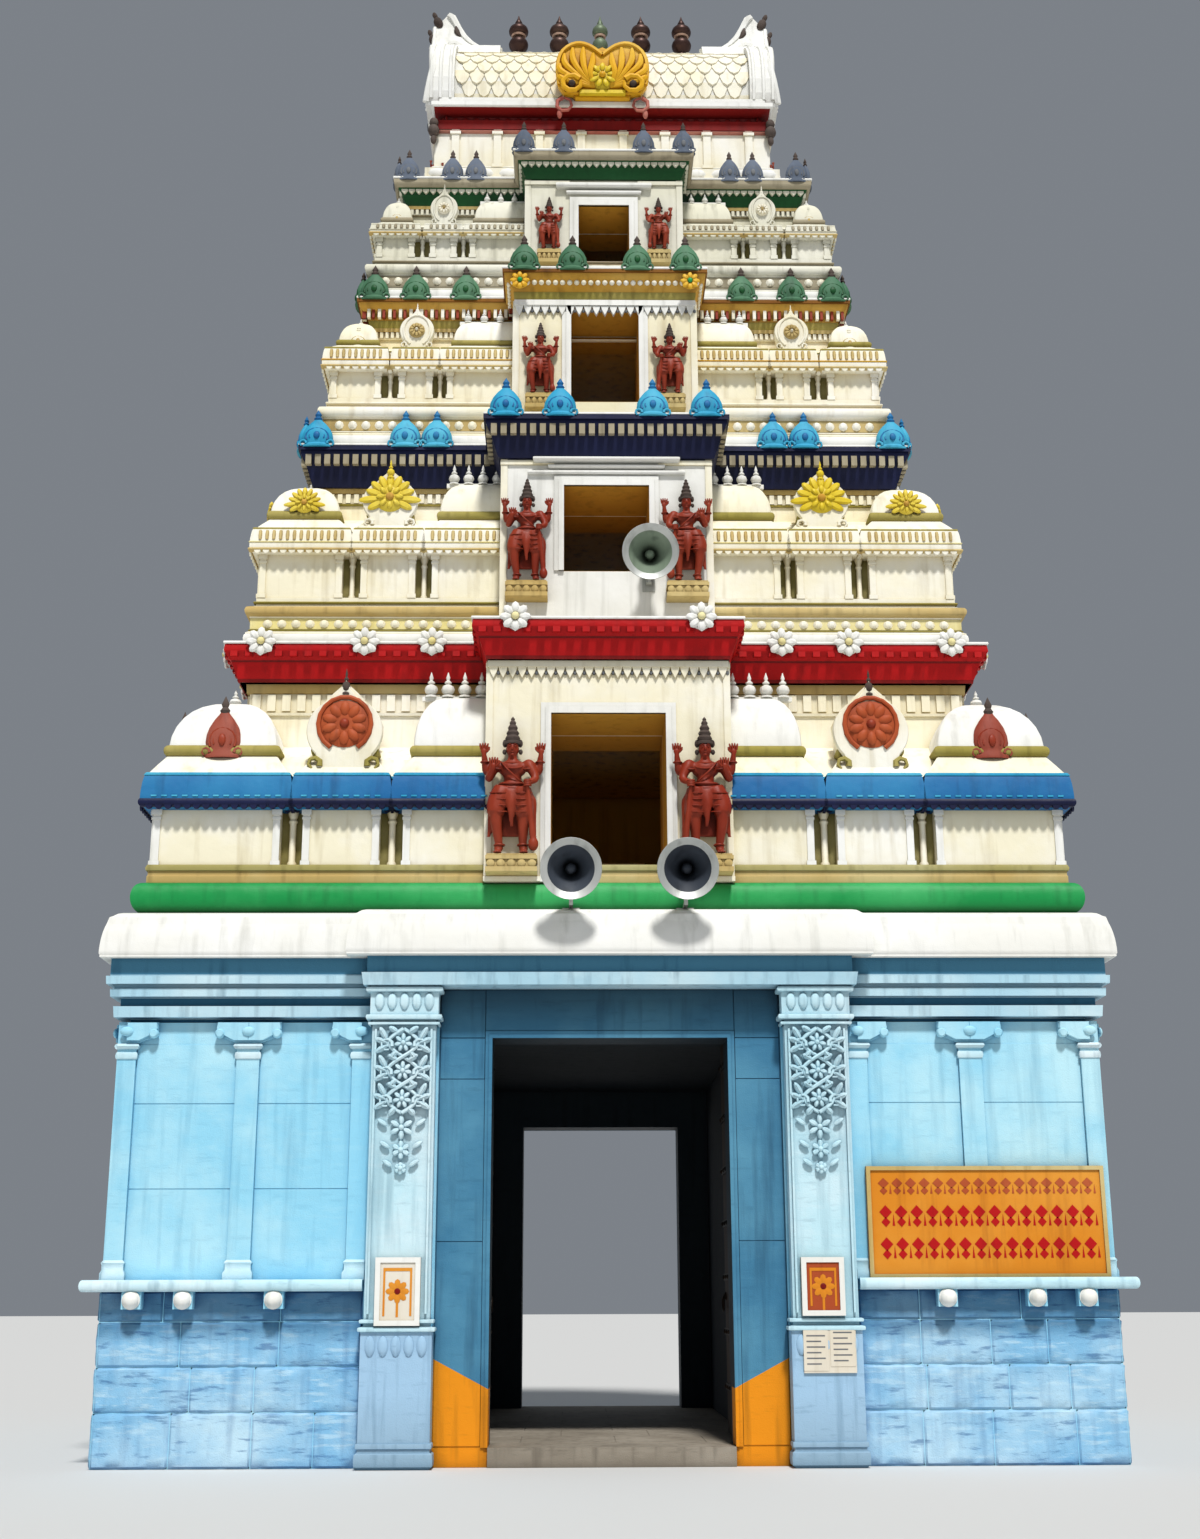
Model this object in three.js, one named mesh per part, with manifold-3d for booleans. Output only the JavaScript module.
// A South Indian temple gateway tower (gopuram): a stone gate block with a passage and a pair of
// timber doors, four hollow storeys ringed with small shrines, and a barrel vault with five pots.
// Millimetres, +Z up, the street side faces -Y, origin on the ground at the middle of the plan.
import * as THREE from "three";
import { mergeVertices } from "three/addons/utils/BufferGeometryUtils.js";
import Module from "manifold-3d";

const wasm = await Module();
wasm.setup();

// Driving dimensions: the stone gate block.
const BASE_X = 5000;
const BASE_Y = 3600;
const LEDGE_BOTTOM = 1640;
const LEDGE_TOP = 1740;
const LEDGE_OUT = 160;
const WALL_TOP = 4280;
const CORNICE_BOTTOM = 4920;
const CORNICE_TOP = 5410;
const PILASTER_OUT = 45;
const PASSAGE_X = 1450;
const FLOOR_TOP = 180;

// The portal: piers that stand out from the wall, and a stone door frame set back between them.
const PIER_IN = 1740;
const PIER_OUT = 2430;
const PIER_PROUD = 200;
const PIER_BLOCK_TOP = 1300;
const PIER_CAP_BOTTOM = 4300;
const FRAME_FRONT = 3550;
const FRAME_BACK = 3050;
const PORTAL_TOP = 4620;
const FRONT_DOOR = { halfWidth: 1200, top: 4120 };
const BACK_DOOR = { halfWidth: 1050, top: 3800 };

// The timber leaves, which stand open along the passage walls at rest.
const LEAF_THICK = 90;
const LEAF_AXIS_X = 1330;
const LEAF_AXIS_Y = -2975;
const LEAF_BOTTOM = 195;
const LEAF_TOP = 4200;
const LEAF_MEETING_GAP = 5;
const PIVOT_RADIUS = 30;
const STRAPS = { count: 7, first: 620, spacing: 560, height: 70, out: 18 };
const SEAT_GAP = 0.3;

// The storeys, from the bottom. floor is where each stands, and its other heights count from there:
// base to wall is the shrines' shaft, wall to eave their painted eave, neck to roof their domes.
// shrine is the plane of the small shrines, core the plane of the storey wall behind them. A
// doorway is [half width, sill, head], and backHead is the head of one that is lower at the back.
const STOREYS = [
  {
    floor: 5410, base: 540, wall: 1150, eave: 1530, neck: 1760, roof: 2510, cornice: 2780, top: 3190,
    shrine: [4820, 3450], core: [4000, 2750], rim: [4240, 2990], thick: 600, lip: 70, link: 150,
    corner: 1340, panel: [2430, 3240], hall: 2180, sidePanel: [1150, 1760], sideHall: 760,
    bay: { halfWidth: 1310, plane: 3560, rimX: 1440, rimY: 3790, door: [615, 340, 2190], backHead: 1870 },
    guard: { x: 1020, foot: 590, height: 1520, width: 640 },
  },
  {
    floor: 8600, base: 610, wall: 1140, eave: 1440, neck: 1600, roof: 2140, cornice: 2200, top: 2670,
    shrine: [3950, 2800], core: [3380, 2260], rim: [3590, 2470], thick: 500, lip: 60, link: 120,
    corner: 940, panel: [2180, 2800], hall: 1990, sidePanel: [910, 1400], sideHall: 600,
    bay: { halfWidth: 1200, plane: 3100, rimX: 1370, rimY: 3290, door: [485, 830, 1870] },
    guard: { x: 900, foot: 640, height: 1270, width: 560 },
  },
  {
    floor: 11270, base: 700, wall: 1060, eave: 1350, neck: 1440, roof: 1840, cornice: 1850, top: 2190,
    shrine: [3300, 2300], core: [2850, 1900], rim: [3020, 2070], thick: 450, lip: 55, link: 100,
    corner: 600, panel: [2080, 2480], hall: 1900, sidePanel: [800, 1230], sideHall: 540,
    bay: { halfWidth: 1100, plane: 2600, rimX: 1200, rimY: 2770, door: [405, 520, 1770] },
    guard: { x: 770, foot: 560, height: 960, width: 420 },
  },
  {
    floor: 13460, base: 670, wall: 950, eave: 1120, neck: 1200, roof: 1580, cornice: 1600, top: 1910,
    shrine: [2850, 1900], core: [2480, 1580], rim: [2650, 1750], thick: 400, lip: 45, link: 80,
    corner: 470, panel: [1850, 2180], hall: 1680, sidePanel: [660, 1010], sideHall: 440,
    bay: { halfWidth: 980, plane: 2200, rimX: 1100, rimY: 2360, door: [315, 410, 1230] },
    guard: { x: 680, foot: 560, height: 760, width: 350 },
  },
];

// The crown: neck, eave plate, barrel vault with a gable at each end, and the pots on its ridge.
const NECK = { bottom: 15370, step: 15760, top: 16460, x: 2200, y: 1400, thick: 400 };
const PLATE = { bottom: 16460, top: 16660, x: 2140, y: 1480 };
const VAULT = { x: 1950, spring: 17000, halfDepth: 1460, rise: 1140, startDegrees: -17, thick: 260 };
const GABLE = { footX: 2320, waistX: 2230, crestX: 2330, tipX: 2135, tipZ: 19090, sweepX: 1380 };
// The horn that grows out of each gable: rows of [distance along the ridge, half width, height].
const HORN = [
  [1380, 650, 18170], [1550, 500, 18270], [1700, 380, 18400], [1820, 300, 18540], [1920, 240, 18690],
  [2000, 200, 18850], [2050, 190, 18960], [2090, 190, 19040],
];
const MIDDLE_GABLE = { halfWidth: 570, top: 17430 };
const POT_SPACING = 580;
const POT_HEIGHT = 1060;

const CREAM = new THREE.MeshStandardMaterial({ color: 0xf2ead0, roughness: 0.8, metalness: 0 });
const STONE_BLUE = new THREE.MeshStandardMaterial({ color: 0x9fd8ea, roughness: 0.85, metalness: 0 });
const FRAME_BLUE = new THREE.MeshStandardMaterial({ color: 0x4d8fb5, roughness: 0.7, metalness: 0 });
const WHITE = new THREE.MeshStandardMaterial({ color: 0xf6f5ee, roughness: 0.8, metalness: 0 });
const RED = new THREE.MeshStandardMaterial({ color: 0xa60f14, roughness: 0.6, metalness: 0 });
const NAVY = new THREE.MeshStandardMaterial({ color: 0x14205c, roughness: 0.6, metalness: 0 });
const OCHRE = new THREE.MeshStandardMaterial({ color: 0xc08a2c, roughness: 0.7, metalness: 0 });
const GREEN = new THREE.MeshStandardMaterial({ color: 0x0f5a2c, roughness: 0.6, metalness: 0 });
const GOLD = new THREE.MeshStandardMaterial({ color: 0xe6a81c, roughness: 0.5, metalness: 0 });
const WOOD = new THREE.MeshStandardMaterial({ color: 0x3a2a20, roughness: 0.7, metalness: 0 });
const COPPER = new THREE.MeshStandardMaterial({ color: 0x3b2a24, roughness: 0.45, metalness: 0.8 });
const HORN_GREY = new THREE.MeshStandardMaterial({ color: 0xc8cac6, roughness: 0.5, metalness: 0.3 });
const BOARD_ORANGE = new THREE.MeshStandardMaterial({ color: 0xe88a1e, roughness: 0.6, metalness: 0 });
const PAPER = new THREE.MeshStandardMaterial({ color: 0xeadfce, roughness: 0.7, metalness: 0 });
const FLOOR_STONE = new THREE.MeshStandardMaterial({ color: 0x9a8f80, roughness: 0.9, metalness: 0 });

// A three.js geometry as a solid that can be joined and cut.
function solid(geometry) {
  const bare = new THREE.BufferGeometry();
  bare.setAttribute("position", geometry.getAttribute("position"));
  if (geometry.index) bare.setIndex(geometry.index);
  const merged = mergeVertices(bare, 1e-3);
  const made = new wasm.Mesh({
    numProp: 3,
    vertProperties: merged.attributes.position.array,
    triVerts: new Uint32Array(merged.index.array),
  });
  return new wasm.Manifold(made);
}

// A solid as a named three.js mesh.
function part(name, made, material) {
  const mesh = made.getMesh();
  const geometry = new THREE.BufferGeometry();
  geometry.setAttribute("position", new THREE.BufferAttribute(mesh.vertProperties, 3));
  geometry.setIndex(new THREE.BufferAttribute(mesh.triVerts, 1));
  const named = new THREE.Mesh(geometry, material);
  named.name = name;
  return named;
}

const join = (solids) => solids.reduce((whole, next) => whole.add(next));

function box(x0, x1, y0, y1, z0, z1) {
  const geometry = new THREE.BoxGeometry(x1 - x0, y1 - y0, z1 - z0);
  return solid(geometry.translate((x0 + x1) / 2, (y0 + y1) / 2, (z0 + z1) / 2));
}

// An outline of [across, up] points, pushed along X, Y or Z from one value to another.
function extrude(points, from, to, axis) {
  const outline = new THREE.Shape(points.map(([a, b]) => new THREE.Vector2(a, b)));
  const geometry = new THREE.ExtrudeGeometry(outline, { depth: to - from, bevelEnabled: false });
  const [x, y, z] = [new THREE.Vector3(1, 0, 0), new THREE.Vector3(0, 1, 0), new THREE.Vector3(0, 0, 1)];
  const turn = new THREE.Matrix4();
  if (axis === "X") turn.makeBasis(y, z, x).setPosition(from, 0, 0);
  if (axis === "Y") turn.makeBasis(x, z, y.clone().negate()).setPosition(0, to, 0);
  if (axis === "Z") turn.setPosition(0, 0, from);
  return solid(geometry.applyMatrix4(turn));
}

// A slab whose four edges all carry one moulding: edge is a list of [outset, height].
function mouldedSlab(halfX, halfY, edge) {
  const section = (half) => [
    ...edge.map(([out, z]) => [half + out, z]),
    ...edge.map(([out, z]) => [-half - out, z]).reverse(),
  ];
  const reach = 2 * Math.max(halfX, halfY);
  return extrude(section(halfX), -reach, reach, "Y").intersect(extrude(section(halfY), -reach, reach, "X"));
}

// A round piece: profile is a list of [radius, height] that starts and ends on the axis.
function turned(profile, segments) {
  const points = profile.map(([r, z]) => new THREE.Vector2(r, z));
  const geometry = new THREE.LatheGeometry(points, segments);
  return solid(geometry.rotateX(Math.PI / 2));
}

// Points on an ellipse arc, in degrees from the first axis.
function arc(centreA, centreB, radiusA, radiusB, fromDegrees, toDegrees, steps) {
  return Array.from({ length: steps + 1 }, (_, i) => {
    const angle = THREE.MathUtils.degToRad(fromDegrees + ((toDegrees - fromDegrees) * i) / steps);
    return [centreA + radiusA * Math.cos(angle), centreB + radiusB * Math.sin(angle)];
  });
}

const mirrorX = (made) => made.mirror([1, 0, 0]);
const mirrorY = (made) => made.mirror([0, 1, 0]);

// The flank of the gate block in plan, with rebates for the door frames. out widens its open sides.
function flankPlan(out, panel) {
  const outerX = BASE_X + out - panel;
  const outerY = BASE_Y + out - panel;
  return [
    [-outerX, -outerY],
    [-PIER_OUT, -outerY],
    [-PIER_OUT, -BASE_Y],
    [-PIER_IN, -BASE_Y],
    [-PIER_IN, -FRAME_BACK],
    [-PASSAGE_X, -FRAME_BACK],
    [-PASSAGE_X, FRAME_BACK],
    [-PIER_IN, FRAME_BACK],
    [-PIER_IN, BASE_Y],
    [-PIER_OUT, BASE_Y],
    [-PIER_OUT, outerY],
    [-outerX, outerY],
  ];
}

const plinth = () => extrude(flankPlan(0, 0), 0, LEDGE_BOTTOM, "Z");

// The string course, with the stub beam ends that hang below it clear of the plinth face.
function ledge() {
  const stubDrop = 170;
  const stubHalf = 95;
  const stubsFront = [-4670, -4170, -3290];
  const stubsSide = [-2300, 0, 2300];
  const course = extrude(flankPlan(LEDGE_OUT, 0), LEDGE_BOTTOM, LEDGE_TOP, "Z");
  const out = LEDGE_OUT - 20;
  const front = stubsFront.map((x) =>
    box(x - stubHalf, x + stubHalf, -BASE_Y - out, -BASE_Y - SEAT_GAP, LEDGE_BOTTOM - stubDrop, LEDGE_BOTTOM + 20),
  );
  const side = stubsSide.map((y) =>
    box(-BASE_X - out, -BASE_X - SEAT_GAP, y - stubHalf, y + stubHalf, LEDGE_BOTTOM - stubDrop, LEDGE_BOTTOM + 20),
  );
  return join([course, ...front, ...front.map(mirrorY), ...side]);
}

// The upper wall: shallow pilasters on a set-back panel, each under a spreading corbel.
function upperWall() {
  const pilasters = [
    [-BASE_X, -BASE_X + 190],
    [-3790, -3560],
    [-2620, -PIER_OUT],
  ];
  const sidePilasters = [-3600, -1315, 1085, 3370];
  const pilasterWidth = 230;
  const corbelBottom = 4060;
  const corbelReach = 210;
  const corbelSlope = 90;
  const panel = extrude(flankPlan(0, PILASTER_OUT), LEDGE_TOP, WALL_TOP, "Z");
  const corbel = (from, to) => [
    [from, corbelBottom],
    [to, corbelBottom],
    [to + corbelReach, corbelBottom + corbelSlope],
    [to + corbelReach, WALL_TOP],
    [from - corbelReach, WALL_TOP],
    [from - corbelReach, corbelBottom + corbelSlope],
  ];
  const front = pilasters.flatMap(([from, to]) => {
    const shaft = box(from, to, -BASE_Y, -BASE_Y + 2 * PILASTER_OUT, LEDGE_TOP, WALL_TOP);
    const cap = extrude(corbel(from, to), -BASE_Y, -BASE_Y + 2 * PILASTER_OUT, "Y");
    return [shaft, cap.intersect(box(-BASE_X, -PIER_OUT, -BASE_Y, 0, 0, WALL_TOP))];
  });
  const side = sidePilasters.flatMap((y) => {
    const shaft = box(-BASE_X, -BASE_X + 2 * PILASTER_OUT, y, y + pilasterWidth, LEDGE_TOP, WALL_TOP);
    const cap = extrude(corbel(y, y + pilasterWidth), -BASE_X, -BASE_X + 2 * PILASTER_OUT, "X");
    return [shaft, cap.intersect(box(-BASE_X, 0, -BASE_Y, BASE_Y, 0, WALL_TOP))];
  });
  return join([panel, ...front, ...front.map(mirrorY), ...side]);
}

// A carved pier of the portal: a shaft on a block, with a capital under the entablature.
function pier() {
  const front = -BASE_Y - PIER_PROUD;
  const shaftBack = -BASE_Y;
  const inset = 25;
  return join([
    box(-PIER_OUT, -PIER_IN, front, shaftBack, 0, PIER_BLOCK_TOP),
    box(-PIER_OUT + inset, -PIER_IN - inset, front + inset, shaftBack, PIER_BLOCK_TOP, PIER_CAP_BOTTOM),
    box(-PIER_OUT, -PIER_IN, front, shaftBack, PIER_CAP_BOTTOM, PORTAL_TOP),
  ]);
}

const jamb = (door) => box(-PIER_IN, -door.halfWidth, -FRAME_FRONT, -FRAME_BACK, 0, door.top);
const lintel = (door) => box(-PIER_IN, PIER_IN, -FRAME_FRONT, -FRAME_BACK, door.top, PORTAL_TOP);

const passageFloor = () =>
  join([
    box(-PASSAGE_X, PASSAGE_X, -FRAME_BACK, FRAME_BACK, 0, FLOOR_TOP),
    box(-FRONT_DOOR.halfWidth, FRONT_DOOR.halfWidth, -BASE_Y, -FRAME_BACK, 0, FLOOR_TOP),
    box(-BACK_DOOR.halfWidth, BACK_DOOR.halfWidth, FRAME_BACK, BASE_Y, 0, FLOOR_TOP),
  ]);

// The stacked fillets under the cornice. They also roof the passage and bear on the portals.
function entablature() {
  const run = [
    [-90, WALL_TOP], [-90, 4325], [50, 4325], [60, 4435], [0, 4435], [0, 4530], [90, 4530], [95, 4610],
    [60, 4610], [60, 4655], [130, 4655], [135, 4735], [100, 4735], [100, CORNICE_BOTTOM],
  ];
  const portal = [
    [70, PORTAL_TOP], [90, 4745], [40, 4745], [40, CORNICE_BOTTOM],
  ];
  const room = box(-PIER_OUT, PIER_OUT, -BASE_Y - 400, -FRAME_BACK, WALL_TOP - 10, PORTAL_TOP);
  return mouldedSlab(BASE_X, BASE_Y, run)
    .subtract(room)
    .subtract(mirrorY(room))
    .add(mouldedSlab(PIER_OUT, BASE_Y + PIER_PROUD, portal));
}

function baseCornice() {
  const edge = [[200, CORNICE_BOTTOM], [190, 5150], [140, 5340], [50, 5395], [-40, CORNICE_TOP]];
  const middle = mouldedSlab(PIER_OUT + 40, BASE_Y + PIER_PROUD - 20, edge);
  return mouldedSlab(BASE_X, BASE_Y, edge).add(middle);
}

// A door leaf as it stands open, with the pivot pins that turn in the floor and the roof slab.
function doorLeaf() {
  const heel = LEAF_AXIS_Y - LEAF_THICK / 2;
  const length = LEAF_AXIS_X + LEAF_THICK / 2 - LEAF_MEETING_GAP;
  const face = -LEAF_AXIS_X - LEAF_THICK / 2;
  const leaf = box(face, face + LEAF_THICK, heel, heel + length, LEAF_BOTTOM, LEAF_TOP);
  const pin = new THREE.CylinderGeometry(PIVOT_RADIUS, PIVOT_RADIUS, WALL_TOP - FLOOR_TOP - 2 * SEAT_GAP, 12);
  pin.rotateX(Math.PI / 2).translate(-LEAF_AXIS_X, LEAF_AXIS_Y, (WALL_TOP + FLOOR_TOP) / 2);
  const straps = Array.from({ length: STRAPS.count }, (_, i) => {
    const z = STRAPS.first + i * STRAPS.spacing;
    const out = face + LEAF_THICK + STRAPS.out;
    return box(face + LEAF_THICK - 5, out, heel + 90, heel + length - 60, z, z + STRAPS.height);
  });
  return join([leaf, solid(pin), ...straps]);
}

// One small shrine on a rectangle of the plan: shaft, projecting eave and a roof that curves in
// from all four sides, which makes a dome on a square and a barrel on an oblong.
function shrine(storey, x0, x1, y0, y1) {
  const { base, wall, eave, neck, roof, lip } = storey;
  const halfX = (x1 - x0) / 2;
  const halfY = (y1 - y0) / 2;
  const roofIn = 1.4 * lip;
  const rise = Math.min(halfX, halfY) - roofIn;
  const curve = arc(-roofIn - rise, neck, rise, roof - neck, 0, 84, 3);
  const edge = [[0, base], [0, wall], [lip, wall], [lip, eave], ...curve];
  return mouldedSlab(halfX, halfY, edge).translate([(x0 + x1) / 2, (y0 + y1) / 2, 0]);
}

// The lower link between the shrines, which runs round the storey a little further back.
function linkRing(storey, depth) {
  const { base, wall, eave, neck, roof, lip, link } = storey;
  return mouldedSlab(storey.shrine[0] - link, storey.shrine[1] - link, [
    [0, base], [0, wall], [lip, wall], [lip, eave], [-lip, neck], [link - depth - 20, 0.6 * neck + 0.4 * roof],
  ]);
}

// A horseshoe gable disc, facing -Y on the given plane.
function horseshoe(x, plane, thick, halfWidth, bottom, top, steps) {
  const neck = 0.62 * halfWidth;
  const middle = bottom + 0.52 * (top - bottom);
  const outline = [
    [x - neck, bottom],
    [x + neck, bottom],
    ...arc(x, middle, halfWidth, 0.8 * (top - middle), -35, 70, steps),
    [x, top],
    ...arc(x, middle, halfWidth, 0.8 * (top - middle), 110, 215, steps),
  ];
  return extrude(outline, plane, plane + thick, "Y");
}

// The moulded foot of a storey. The lowest one is a fat half-round with a band over it.
function storeyFoot(storey, first) {
  const [x, y] = storey.shrine;
  const b = storey.base;
  const round = [
    [0, 0], [90, 30], [145, 110], [150, 190], [110, 290], [40, 340], [15, 345], [15, b],
  ];
  const stepped = [
    [110, 0], [110, 0.26 * b], [60, 0.32 * b], [60, 0.56 * b], [100, 0.62 * b],
    [100, 0.76 * b], [20, 0.84 * b], [20, b],
  ];
  return mouldedSlab(x, y, first ? round : stepped);
}

// A hollow storey: its wall, its moulded foot and the shrines round it, with a doorway each way.
function storeyWalls(storey, first) {
  const [shrineX, shrineY] = storey.shrine;
  const [coreX, coreY] = storey.core;
  const { bay, corner, panel, sidePanel, hall, sideHall } = storey;
  const [doorHalf, sill, head] = bay.door;
  const seatX = -coreX + 100;
  const seatY = -coreY + 100;
  const gable = (across, plane, [from, to]) =>
    horseshoe(across, plane, 0.6 * (shrineY - coreY), 0.48 * (to - from), storey.eave, storey.roof + 70, 2);
  const panelMiddle = -(panel[0] + panel[1]) / 2;
  const sideMiddle = (sidePanel[0] + sidePanel[1]) / 2;

  const quarter = [
    shrine(storey, -shrineX, -shrineX + corner, -shrineY, -shrineY + corner),
    shrine(storey, -panel[1], -panel[0], -shrineY, seatY),
    gable(panelMiddle, -shrineY + 10, panel),
    shrine(storey, -hall, -0.6 * bay.halfWidth, -shrineY, seatY),
    shrine(storey, -shrineX, seatX, -sidePanel[1], -sidePanel[0]),
    gable(sideMiddle, -shrineX + 10, sidePanel).rotate([0, 0, -90]),
  ];
  const half = [...quarter, ...quarter.map(mirrorY), shrine(storey, -shrineX, seatX, -sideHall, sideHall)];
  const body = join([
    storeyFoot(storey, first),
    linkRing(storey, shrineY - coreY),
    box(-coreX, coreX, -coreY, coreY, 0, storey.cornice),
    ...half,
    ...half.map(mirrorX),
  ]);

  const bayFoot = first ? sill : -1;
  const bayRoom = box(-bay.halfWidth, bay.halfWidth, -shrineY - 500, -coreY, bayFoot, storey.cornice + 1);
  const room = box(
    -coreX + storey.thick, coreX - storey.thick, -coreY + storey.thick, coreY - storey.thick, -1, storey.cornice + 1,
  );
  const frontDoorway = box(-doorHalf, doorHalf, -shrineY - 500, 0, sill, head);
  const backDoorway = box(-doorHalf, doorHalf, 0, shrineY + 500, sill, bay.backHead ?? head);
  return [bayRoom, mirrorY(bayRoom), room, frontDoorway, backDoorway].reduce((left, cut) => left.subtract(cut), body);
}

// A standing guardian in outline: legs and skirt, trunk, head, tall crown and two raised arms.
function guardian(x, plane, foot, height, width) {
  const body = turned(
    [[0, 0], [0.11, 0], [0.08, 0.2], [0.13, 0.42], [0.09, 0.56], [0.13, 0.7], [0.06, 0.76], [0.06, 0.88], [0, 1]].map(
      ([r, z]) => [r * height, z * height],
    ),
    6,
  ).scale([1, 0.75, 1]);
  const armHalf = 0.03 * height;
  const arms = [-1, 1].flatMap((side) => {
    const span = (from, to) => [Math.min(side * from, side * to), Math.max(side * from, side * to)];
    const [s0, s1] = span(0.08 * height, width / 2);
    const [f0, f1] = span(width / 2 - 2 * armHalf, width / 2);
    return [
      box(s0, s1, -armHalf, armHalf, 0.63 * height, 0.7 * height),
      box(f0, f1, -armHalf, armHalf, 0.63 * height, 0.8 * height),
    ];
  });
  return join([body, ...arms]).translate([x, plane - 0.085 * height, foot]);
}

// The projecting bay in front of a doorway, with its guardians on pedestals. It stands on the
// slab below it, or on the half-round foot of the lowest storey.
function bayFront(storey, first, head) {
  const { bay, guard } = storey;
  const [doorHalf, sill] = bay.door;
  const bottom = first ? sill : 0;
  const coreY = storey.core[1];
  const pedestalOut = 0.17 * guard.height;
  const block = box(-bay.halfWidth, bay.halfWidth, -bay.plane, -coreY, bottom, storey.cornice);
  const frameTop = Math.min(head + 120, storey.cornice);
  const frame = box(-doorHalf - 110, doorHalf + 110, -bay.plane - 35, -bay.plane + 10, sill, frameTop);
  const sides = [-1, 1].flatMap((side) => [
    box(
      side * guard.x - guard.width * 0.42, side * guard.x + guard.width * 0.42,
      -bay.plane - pedestalOut, -bay.plane + 10, guard.foot - 190, guard.foot,
    ),
    guardian(side * guard.x, -bay.plane, guard.foot - 5, guard.height, guard.width),
    box(
      side * guard.x - 0.05 * guard.height, side * guard.x + 0.05 * guard.height,
      -bay.plane - 0.09 * guard.height, -bay.plane + 10, guard.foot, guard.foot + 0.86 * guard.height,
    ),
  ]);
  const doorway = box(-doorHalf, doorHalf, -bay.plane - 400, 0, first ? sill - 1 : sill, head);
  return join([block, frame, ...sides]).subtract(doorway);
}

// The big cornice over a storey, wider over the bays, which is also the next storey's floor.
function storeyCornice(storey) {
  const height = storey.top - storey.cornice;
  const flare = 150;
  const edge = [
    [-flare, storey.cornice],
    [-0.75 * flare, storey.cornice + 0.3 * height],
    [-0.15 * flare, storey.cornice + 0.68 * height],
    [0, storey.cornice + 0.78 * height],
    [0, storey.top],
  ];
  const [x, y] = storey.rim;
  return mouldedSlab(x, y, edge).add(mouldedSlab(storey.bay.rimX, storey.bay.rimY, edge));
}

function neckWalls() {
  const foot = mouldedSlab(NECK.x, NECK.y, [
    [190, NECK.bottom], [190, NECK.bottom + 130], [110, NECK.bottom + 170], [110, NECK.step - 60], [0, NECK.step],
    [0, NECK.top],
  ]);
  return foot.subtract(
    box(
      -NECK.x + NECK.thick, NECK.x - NECK.thick, -NECK.y + NECK.thick, NECK.y - NECK.thick,
      NECK.bottom - 1, NECK.top + 1,
    ),
  );
}

const eavePlate = () =>
  mouldedSlab(PLATE.x, PLATE.y, [[-150, PLATE.bottom], [-90, PLATE.bottom + 80], [70, PLATE.top - 60], [80, PLATE.top]]);

// The vault's section: an ellipse arc from a little under its springing up to the ridge.
function vaultOutline(grow, steps) {
  return arc(
    0, VAULT.spring, VAULT.halfDepth + grow, VAULT.rise + grow,
    VAULT.startDegrees, 180 - VAULT.startDegrees, steps,
  ).map(([y, z]) => [y, Math.max(z, PLATE.top)]);
}

function vault() {
  const shell = extrude(vaultOutline(0, 22), -VAULT.x, VAULT.x, "X");
  const hollow = extrude(vaultOutline(-VAULT.thick, 18), -VAULT.x - 1, VAULT.x + 1, "X");
  const open = box(
    -VAULT.x - 1, VAULT.x + 1, -VAULT.halfDepth + VAULT.thick + 40, VAULT.halfDepth - VAULT.thick - 40,
    PLATE.top - 1, VAULT.spring,
  );
  return shell.subtract(hollow).subtract(open);
}

// The end wall of the vault: a horseshoe plate that flares at its feet and sweeps up into a horn.
function gable() {
  const { footX, waistX, crestX, tipX, tipZ, sweepX } = GABLE;
  const ridgeZ = VAULT.spring + VAULT.rise;
  const plate = extrude(
    [
      [-VAULT.x, PLATE.top], [-VAULT.x, ridgeZ + 100], [-crestX, ridgeZ + 100], [-waistX - 30, 17700],
      [-waistX, 17200], [-footX, PLATE.top],
    ],
    -2000, 2000, "Y",
  ).intersect(extrude(vaultOutline(90, 22), -2600, 0, "X"));
  const sweep = extrude(
    [
      [-crestX, ridgeZ - 300], [-sweepX, ridgeZ - 300], ...HORN.map(([x, , z]) => [-x, z]), [-tipX, tipZ],
      [-crestX - 10, tipZ - 240],
    ],
    -1000, 1000, "Y",
  );
  const right = [[1000, ridgeZ - 300], [850, ridgeZ - 70], ...HORN.map(([, y, z]) => [y, z]), [190, tipZ]];
  const left = right.map(([y, z]) => [-y, z]).reverse();
  const horn = sweep.intersect(extrude([...right, ...left], -2600, 0, "X"));
  const ridge = extrude(vaultOutline(SEAT_GAP, 22), -VAULT.x, 0, "X");
  return plate.add(horn.subtract(ridge));
}

// The winged horseshoe gable on the middle of the vault, cut to fit over its curve.
function middleGable() {
  const face = -VAULT.halfDepth - 200;
  const disc = horseshoe(0, face, 700, MIDDLE_GABLE.halfWidth, PLATE.top, MIDDLE_GABLE.top, 6);
  return disc.subtract(extrude(vaultOutline(SEAT_GAP, 22), -2000, 2000, "X"));
}

// A pot finial: foot, a great bowl, two smaller ones and a lotus-bud point.
function pot(index) {
  const h = POT_HEIGHT;
  const profile = [
    [0, -0.04], [0.16, -0.04], [0.16, 0.02], [0.08, 0.06], [0.18, 0.16], [0.18, 0.27], [0.06, 0.4], [0.13, 0.5],
    [0.13, 0.57], [0.05, 0.66], [0.13, 0.73], [0.11, 0.82], [0.045, 0.87], [0, 1],
  ].map(([r, z]) => [r * h, z * h]);
  const ridge = extrude(vaultOutline(SEAT_GAP, 22), -2000, 2000, "X");
  return turned(profile, 8)
    .translate([index * POT_SPACING, 0, VAULT.spring + VAULT.rise])
    .subtract(ridge);
}

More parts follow.
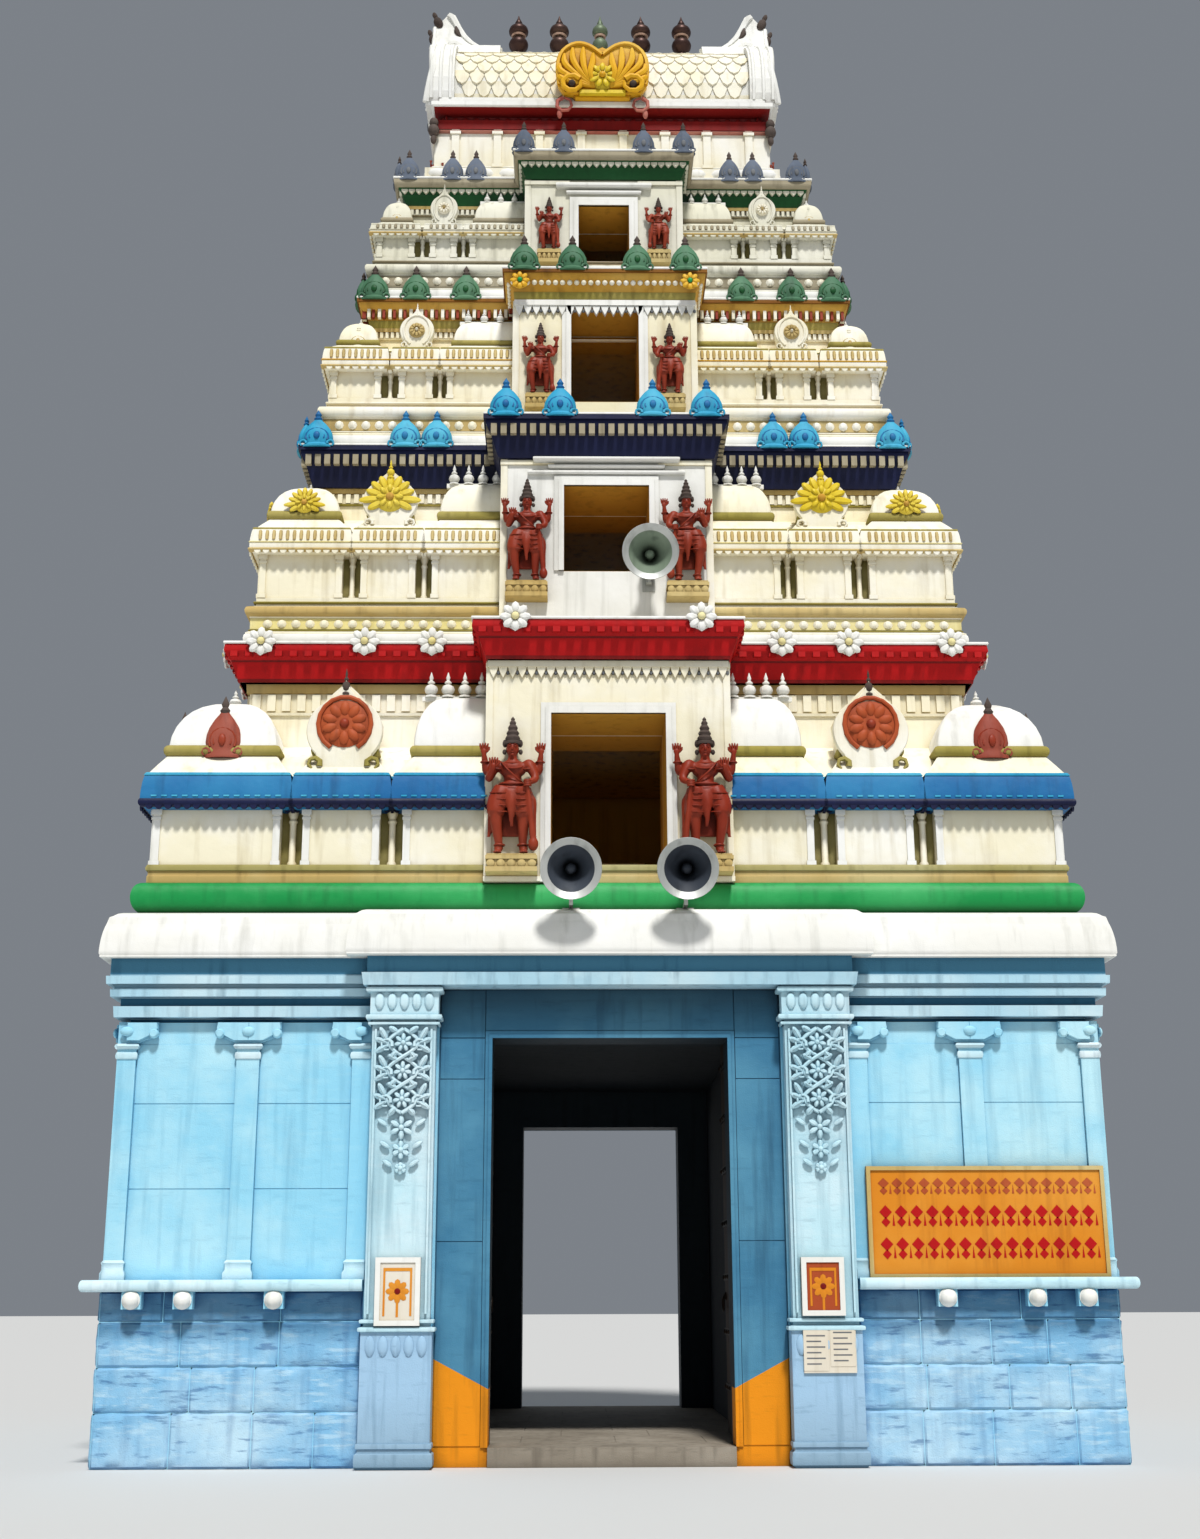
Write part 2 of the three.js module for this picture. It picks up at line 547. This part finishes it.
// A horn loudspeaker that looks a little down: flared bell and driver, on the given bracket.
function loudspeaker(mouth, bracket) {
  const tilt = 12;
  const bell = [
    [0, 330], [38, 330], [98, 140], [190, 60], [292, -10], [310, 0], [210, 90], [70, 250], [70, 470], [0, 470],
  ];
  const horn = turned(bell, 12).rotate([tilt - 90, 0, 0]).translate(mouth);
  return join([horn, ...bracket]);
}

const tower = new THREE.Group();
tower.name = "gopuram";

const gate = new THREE.Group();
tower.add(gate);
gate.add(part("passage_floor", passageFloor(), FLOOR_STONE));
for (const [side, flip] of [["left", (s) => s], ["right", mirrorX]]) {
  gate.add(part(`plinth_${side}`, flip(plinth()), STONE_BLUE));
  gate.add(part(`ledge_${side}`, flip(ledge()), STONE_BLUE));
  gate.add(part(`base_wall_${side}`, flip(upperWall()), STONE_BLUE));
  gate.add(part(`portal_pier_front_${side}`, flip(pier()), STONE_BLUE));
  gate.add(part(`portal_pier_back_${side}`, flip(mirrorY(pier())), STONE_BLUE));
  gate.add(part(`door_jamb_front_${side}`, flip(jamb(FRONT_DOOR)), FRAME_BLUE));
  gate.add(part(`door_jamb_back_${side}`, flip(mirrorY(jamb(BACK_DOOR))), FRAME_BLUE));
  gate.add(part(`door_leaf_${side}`, flip(doorLeaf()), WOOD));
}
gate.add(part("door_lintel_front", lintel(FRONT_DOOR), FRAME_BLUE));
gate.add(part("door_lintel_back", mirrorY(lintel(BACK_DOOR)), FRAME_BLUE));
gate.add(part("entablature", entablature(), STONE_BLUE));
gate.add(part("base_cornice", baseCornice(), WHITE));

const CORNICE_PAINT = [RED, NAVY, OCHRE, GREEN];
STOREYS.forEach((storey, index) => {
  const number = index + 1;
  const first = index === 0;
  const group = new THREE.Group();
  group.position.z = storey.floor;
  group.add(part(`storey_${number}_walls`, storeyWalls(storey, first), CREAM));
  const { door, backHead } = storey.bay;
  group.add(part(`storey_${number}_bay_front`, bayFront(storey, first, door[2]), CREAM));
  group.add(part(`storey_${number}_bay_back`, mirrorY(bayFront(storey, first, backHead ?? door[2])), CREAM));
  group.add(part(`storey_${number}_cornice`, storeyCornice(storey), CORNICE_PAINT[index]));
  tower.add(group);
});

const crown = new THREE.Group();
tower.add(crown);
crown.add(part("neck_walls", neckWalls(), CREAM));
crown.add(part("vault_eave", eavePlate(), RED));
crown.add(part("vault", vault(), WHITE));
crown.add(part("gable_left", gable(), WHITE));
crown.add(part("gable_right", mirrorX(gable()), WHITE));
crown.add(part("middle_gable_front", middleGable(), GOLD));
crown.add(part("middle_gable_back", mirrorY(middleGable()), GOLD));
for (const index of [-2, -1, 0, 1, 2]) crown.add(part(`pot_${index + 3}`, pot(index), COPPER));

// What is fixed to the front: a signboard on the ledge, three small panels and three loudspeakers.
const fittings = new THREE.Group();
tower.add(fittings);
const pierFace = -BASE_Y - PIER_PROUD;
fittings.add(part("signboard", box(2550, 4930, -BASE_Y - 60, -BASE_Y, LEDGE_TOP, 2820), BOARD_ORANGE));
fittings.add(part("picture_left", box(-2300, -1860, pierFace - 30, pierFace + 25, 1310, 1950), PAPER));
fittings.add(part("picture_right", box(1850, 2270, pierFace - 30, pierFace + 25, 1390, 1940), PAPER));
fittings.add(part("notice_right", box(1850, 2360, pierFace - 20, pierFace, 860, 1290), PAPER));

const lowHorn = (x) =>
  loudspeaker([x, -4330, 5720], [
    box(x - 20, x + 20, -3905, -3865, 5430, 5870),
    box(x - 20, x + 20, -3905, -3660, 5430, 5470),
    box(x - 90, x + 90, -3740, -3640, CORNICE_TOP, 5435),
  ]);
fittings.add(part("loudspeaker_left", lowHorn(-400), HORN_GREY));
fittings.add(part("loudspeaker_right", lowHorn(780), HORN_GREY));
const bayPlane = -STOREYS[1].bay.plane;
const highHorn = loudspeaker([470, bayPlane - 560, 9440], [
  box(452, 488, bayPlane - 135, bayPlane - 95, 9240, 9570),
  box(440, 500, bayPlane - 115, bayPlane - 5, 9250, 9300),
  box(400, 540, bayPlane - 12, bayPlane, 9180, 9370),
]);
fittings.add(part("loudspeaker_upper", highHorn, HORN_GREY));

export default tower;
